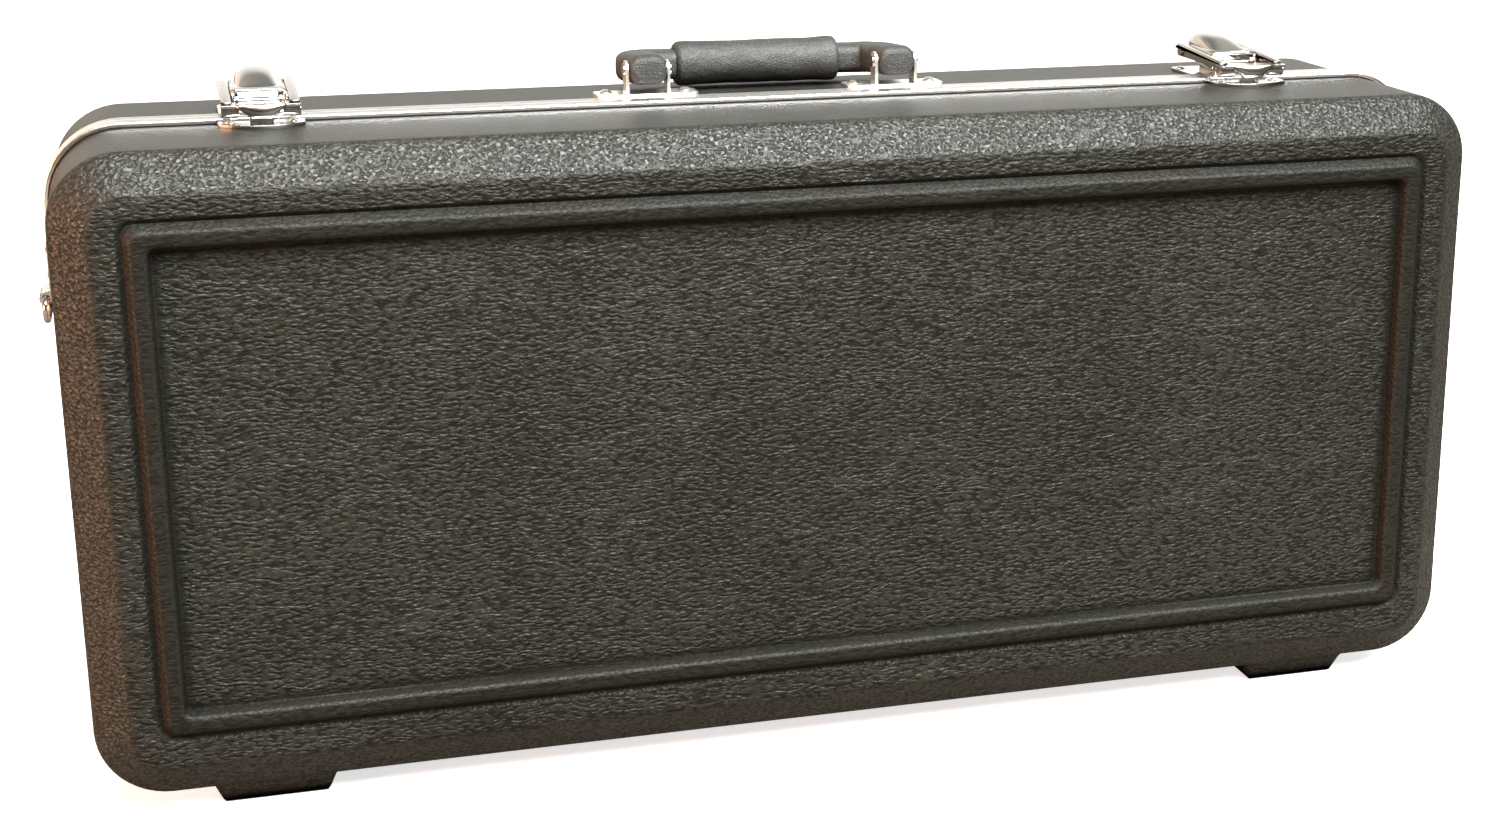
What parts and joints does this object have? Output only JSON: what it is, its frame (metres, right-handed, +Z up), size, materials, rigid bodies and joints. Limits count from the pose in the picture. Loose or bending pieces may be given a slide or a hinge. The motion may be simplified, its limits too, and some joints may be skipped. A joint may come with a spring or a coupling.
{
  "type": "instrument case",
  "caption": "Rectangular moulded instrument case with a fitted plush interior, metal valance, draw latches, folding handle and strap rings.",
  "frame": {"origin": "on the ground under the case, half way along its length, in the plane where lid and base part", "axes": "+X along the case's length, +Y towards its back (the hinged base half), +Z up towards the handle; the lid is the half at -Y"},
  "size_m": [0.6574, 0.167, 0.3122],
  "materials": {
    "shell_plastic": "vacuum-formed black ABS with an embossed leather grain",
    "valance_metal": "bright ribbed extrusion",
    "plated_steel": "bright nickel-plated pressed steel",
    "rivet_metal": "nickel-plated domed rivets",
    "handle_leather": "black grained leather",
    "core_steel": "plain steel rod and strip",
    "plush": "short-pile plush over foam",
    "lining": "short-pile plush on board",
    "ribbon": "woven ribbon"
  },
  "bodies": {
    "base": {"base_shell": "shell_plastic", "base_valance": "valance_metal", "hinge_leaves_base": "plated_steel", "hinge_pins": "core_steel", "handle_bracket_left": "plated_steel", "handle_bracket_right": "plated_steel", "handle_pins": "plated_steel", "latch_base_left": "plated_steel", "latch_base_right": "plated_steel", "latch_lever_pin_left": "plated_steel", "latch_lever_pin_right": "plated_steel", "strap_bracket_left": "plated_steel", "strap_bracket_right": "plated_steel", "base_insert": "plush", "cavity_floor_pad": "plush", "neck_rest": "plush", "rivets_base": "rivet_metal"},
    "lid": {"lid_shell": "shell_plastic", "lid_valance": "valance_metal", "hinge_leaves_lid": "plated_steel", "latch_keeper_left": "plated_steel", "latch_keeper_right": "plated_steel", "lid_lining": "lining", "lid_pad_body": "plush", "lid_pad_head": "plush", "rivets_lid": "rivet_metal"},
    "handle": {"handle_core": "core_steel", "handle_cover": "handle_leather", "handle_grip": "handle_leather"},
    "lever_left": {"latch_lever_left": "plated_steel", "latch_claw_pin_left": "plated_steel"},
    "claw_left": {"latch_claw_left": "plated_steel"},
    "lever_right": {"latch_lever_right": "plated_steel", "latch_claw_pin_right": "plated_steel"},
    "claw_right": {"latch_claw_right": "plated_steel"},
    "ring_left": {"strap_ring_left": "plated_steel"},
    "ring_right": {"strap_ring_right": "plated_steel"},
    "compartment": {"compartment_lid": "lining", "compartment_tab": "ribbon"}
  },
  "joints": [
    {"name": "lid_hinge", "type": "hinge", "parent": "base", "child": "lid", "pos_m": [0, 0, 0.0043], "axis": [1, 0, 0], "range_deg": [0, 140]},
    {"name": "handle_fold", "type": "hinge", "parent": "base", "child": "handle", "pos_m": [0, 0.009, 0.3045], "axis": [1, 0, 0], "range_deg": [0, 185]},
    {"name": "compartment_flap", "type": "hinge", "parent": "base", "child": "compartment", "pos_m": [0.1025, 0.0035, 0.0404], "axis": [1, 0, 0], "range_deg": [0, 100]},
    {"name": "latch_left_lever", "type": "hinge", "parent": "base", "child": "lever_left", "pos_m": [-0.231, 0.005, 0.2978], "axis": [1, 0, 0], "range_deg": [0, 100]},
    {"name": "latch_left_claw", "type": "hinge", "parent": "lever_left", "child": "claw_left", "pos_m": [-0.231, 0.033, 0.3002], "axis": [1, 0, 0], "range_deg": [-86, 0]},
    {"name": "ring_left_swing", "type": "hinge", "parent": "base", "child": "ring_left", "pos_m": [-0.3259, 0.013, 0.2154], "axis": [0, 1, 0], "range_deg": [0, 150]},
    {"name": "latch_right_lever", "type": "hinge", "parent": "base", "child": "lever_right", "pos_m": [0.231, 0.005, 0.2978], "axis": [1, 0, 0], "range_deg": [0, 100]},
    {"name": "latch_right_claw", "type": "hinge", "parent": "lever_right", "child": "claw_right", "pos_m": [0.231, 0.033, 0.3002], "axis": [1, 0, 0], "range_deg": [-86, 0]},
    {"name": "ring_right_swing", "type": "hinge", "parent": "base", "child": "ring_right", "pos_m": [0.3259, 0.013, 0.2154], "axis": [0, -1, 0], "range_deg": [0, 150]}
  ],
  "couplings": [
    {"joint": "latch_left_claw", "follows": "latch_left_lever", "ratio": -0.85},
    {"joint": "latch_right_claw", "follows": "latch_right_lever", "ratio": -0.85}
  ]
}
